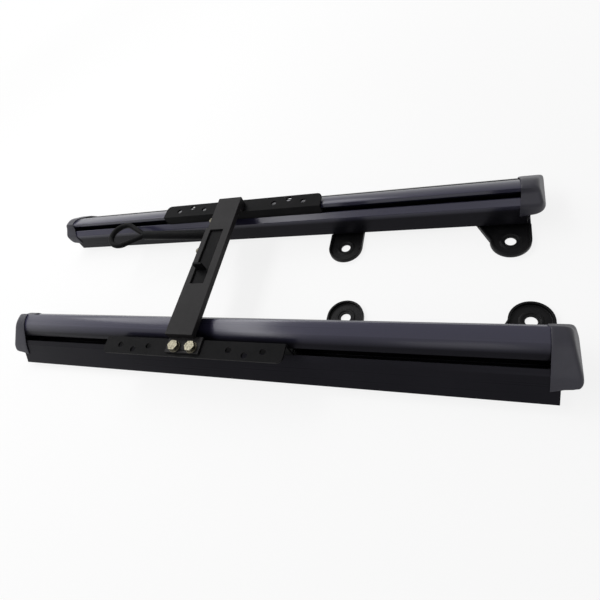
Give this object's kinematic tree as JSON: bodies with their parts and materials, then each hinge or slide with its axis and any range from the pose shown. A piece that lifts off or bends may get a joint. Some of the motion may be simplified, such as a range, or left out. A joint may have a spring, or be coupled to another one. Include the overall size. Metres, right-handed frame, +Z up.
{
  "type": "seat slide rail set",
  "caption": "Pair of floor rails with end caps, joined by a sliding carriage with seat flanges, a cross beam and a loop-handled release lever that withdraws a spring latch.",
  "frame": {"origin": "on the floor plane, under the middle of the overall box", "axes": "+X along the rails away from the release lever, +Y from the near rail to the far rail, +Z up"},
  "size_m": [0.834, 0.3216, 0.0895],
  "materials": {
    "rail_coat": "dark satin coating",
    "cap_plastic": "fine moulded grain",
    "strip_steel": "satin dark grey",
    "black_steel": "satin black",
    "plain_steel": "oiled",
    "yellow_zinc": "yellow passivated zinc",
    "nylon": "natural"
  },
  "bodies": {
    "carriage": {"near_slider_bar": "plain_steel", "far_slider_bar": "plain_steel", "near_glide_shoes": "nylon", "far_glide_shoes": "nylon", "near_seat_bracket": "black_steel", "far_seat_bracket": "black_steel", "near_slider_rivets": "yellow_zinc", "far_slider_rivets": "yellow_zinc", "cross_beam": "black_steel", "beam_bolts": "yellow_zinc", "beam_washers": "yellow_zinc", "beam_nuts": "yellow_zinc", "latch_housing": "black_steel", "housing_bolts": "yellow_zinc", "housing_nuts": "yellow_zinc", "latch_spring": "plain_steel"},
    "near_rail": {"near_rail_profile": "rail_coat", "near_floor_strip": "strip_steel", "near_strip_screws": "yellow_zinc", "near_left_cap": "cap_plastic", "near_right_cap": "cap_plastic"},
    "far_rail": {"far_rail_profile": "rail_coat", "far_floor_strip": "strip_steel", "far_strip_screws": "yellow_zinc", "far_left_cap": "cap_plastic", "far_right_cap": "cap_plastic", "far_lock_strip": "plain_steel"},
    "lever": {"release_sleeve": "black_steel", "lever_tube": "black_steel", "loop_handle": "black_steel"},
    "latch": {"latch_pin": "plain_steel"}
  },
  "joints": [
    {"name": "near_rail_slide", "type": "slide", "parent": "carriage", "child": "near_rail", "axis": [1, 0, 0], "range_m": [-0.276, 0.196]},
    {"name": "far_rail_slide", "type": "slide", "parent": "carriage", "child": "far_rail", "axis": [1, 0, 0], "range_m": [-0.258, 0.215]},
    {"name": "release_lever", "type": "hinge", "parent": "carriage", "child": "lever", "pos_m": [-0.062, 0.059, 0.05025], "axis": [0, 1, 0], "range_deg": [-4.5, 8]},
    {"name": "latch_slide", "type": "slide", "parent": "carriage", "child": "latch", "axis": [0, 1, 0], "range_m": [-0.00561, 0.00316], "deforming": ["latch_spring"]}
  ],
  "couplings": [
    {"joint": "latch_slide", "follows": "release_lever", "m_per_rad": -0.040107}
  ]
}
